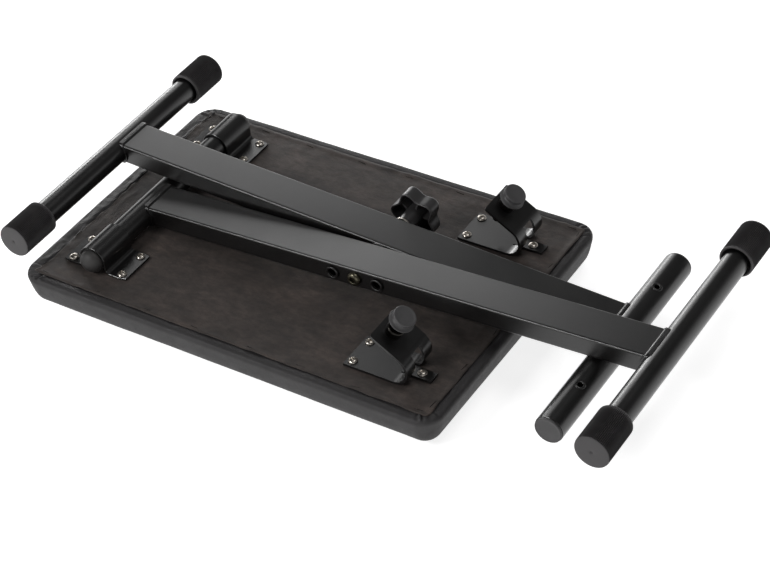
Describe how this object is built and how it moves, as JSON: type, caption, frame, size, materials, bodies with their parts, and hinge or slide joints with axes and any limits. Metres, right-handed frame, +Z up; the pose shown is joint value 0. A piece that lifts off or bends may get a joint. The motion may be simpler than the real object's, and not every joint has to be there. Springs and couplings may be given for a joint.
{
  "type": "folding keyboard bench",
  "caption": "Folding X-frame keyboard bench, folded flat upside down: padded seat on a hinge tube, crossed legs on a star-knob bolt, and pull-pin latches",
  "frame": {"origin": "Centre of the bounding box in plan, at the height of the surface that the upside-down cushion lies on; the pivot bolt is at X = 0", "axes": "+X along the folded legs from the hinge tube to the latch tube, +Y across the bench from leg A to leg B, +Z up, from the cushion to the legs"},
  "size_m": [0.658, 0.3256, 0.1111],
  "materials": {
    "leatherette": "smooth matte black leatherette",
    "plywood": "raw plywood",
    "dust_cover": "black non-woven cloth",
    "powder_coat": "semi-gloss black powder coat",
    "zinc": "bright zinc plate",
    "rubber": "matt black rubber",
    "plastic": "satin black plastic"
  },
  "bodies": {
    "seat": {"seat_cushion": "leatherette", "seat_board": "plywood", "dust_cover": "dust_cover", "saddle_clamp_near": "powder_coat", "saddle_clamp_far": "powder_coat", "saddle_screw_1": "zinc", "saddle_screw_2": "zinc", "saddle_screw_3": "zinc", "saddle_screw_4": "zinc", "saddle_screw_5": "zinc", "saddle_screw_6": "zinc", "saddle_screw_7": "zinc", "saddle_screw_8": "zinc", "latch_screw_1": "zinc", "latch_screw_2": "zinc", "latch_screw_3": "zinc", "latch_screw_4": "zinc", "latch_screw_5": "zinc", "latch_screw_6": "zinc", "latch_bracket_near": "powder_coat", "latch_bracket_far": "powder_coat", "pin_barrel_near": "zinc", "pin_barrel_far": "zinc"},
    "leg_a_frame": {"leg_a": "powder_coat", "hinge_tube": "powder_coat", "hinge_plug_near": "plastic", "hinge_plug_far": "plastic", "foot_tube_a": "powder_coat", "foot_cap_a_near": "rubber", "foot_cap_a_far": "rubber", "pivot_bolt": "zinc", "leg_spacer": "plastic", "knob_washer": "zinc"},
    "leg_b_frame": {"leg_b": "powder_coat", "latch_tube": "powder_coat", "latch_plug_near": "plastic", "latch_plug_far": "plastic", "foot_tube_b": "powder_coat", "foot_cap_b_near": "rubber", "foot_cap_b_far": "rubber"},
    "knob": {"star_knob": "plastic"},
    "pull_pin_near": {"pin_rod_near": "zinc", "pull_knob_near": "plastic"},
    "pull_pin_far": {"pin_rod_far": "zinc", "pull_knob_far": "plastic"}
  },
  "joints": [
    {"name": "frame_fold", "type": "hinge", "parent": "seat", "child": "leg_a_frame", "pos_m": [-0.25197, 0, 0.053], "axis": [0, -1, 0], "range_deg": [0, 40]},
    {"name": "leg_pivot", "type": "hinge", "parent": "leg_a_frame", "child": "leg_b_frame", "pos_m": [0, 0, 0.06598], "axis": [0, 1, 0], "range_deg": [0, 77.7]},
    {"name": "star_knob_turn", "type": "hinge", "parent": "leg_a_frame", "child": "knob", "pos_m": [0, 0.0575, 0.06598], "axis": [0, 1, 0], "continuous": true},
    {"name": "pull_pin_slide_near", "type": "slide", "parent": "seat", "child": "pull_pin_near", "axis": [0.5255, 0, 0.8508], "range_m": [-0.007, 0.005]},
    {"name": "pull_pin_slide_far", "type": "slide", "parent": "seat", "child": "pull_pin_far", "axis": [0.5255, 0, 0.8508], "range_m": [0, 0.012], "stiffness_N_per_m": 500, "springref_m": -0.008}
  ],
  "couplings": [
    {"joint": "leg_pivot", "follows": "frame_fold", "ratio": 1.942}
  ]
}
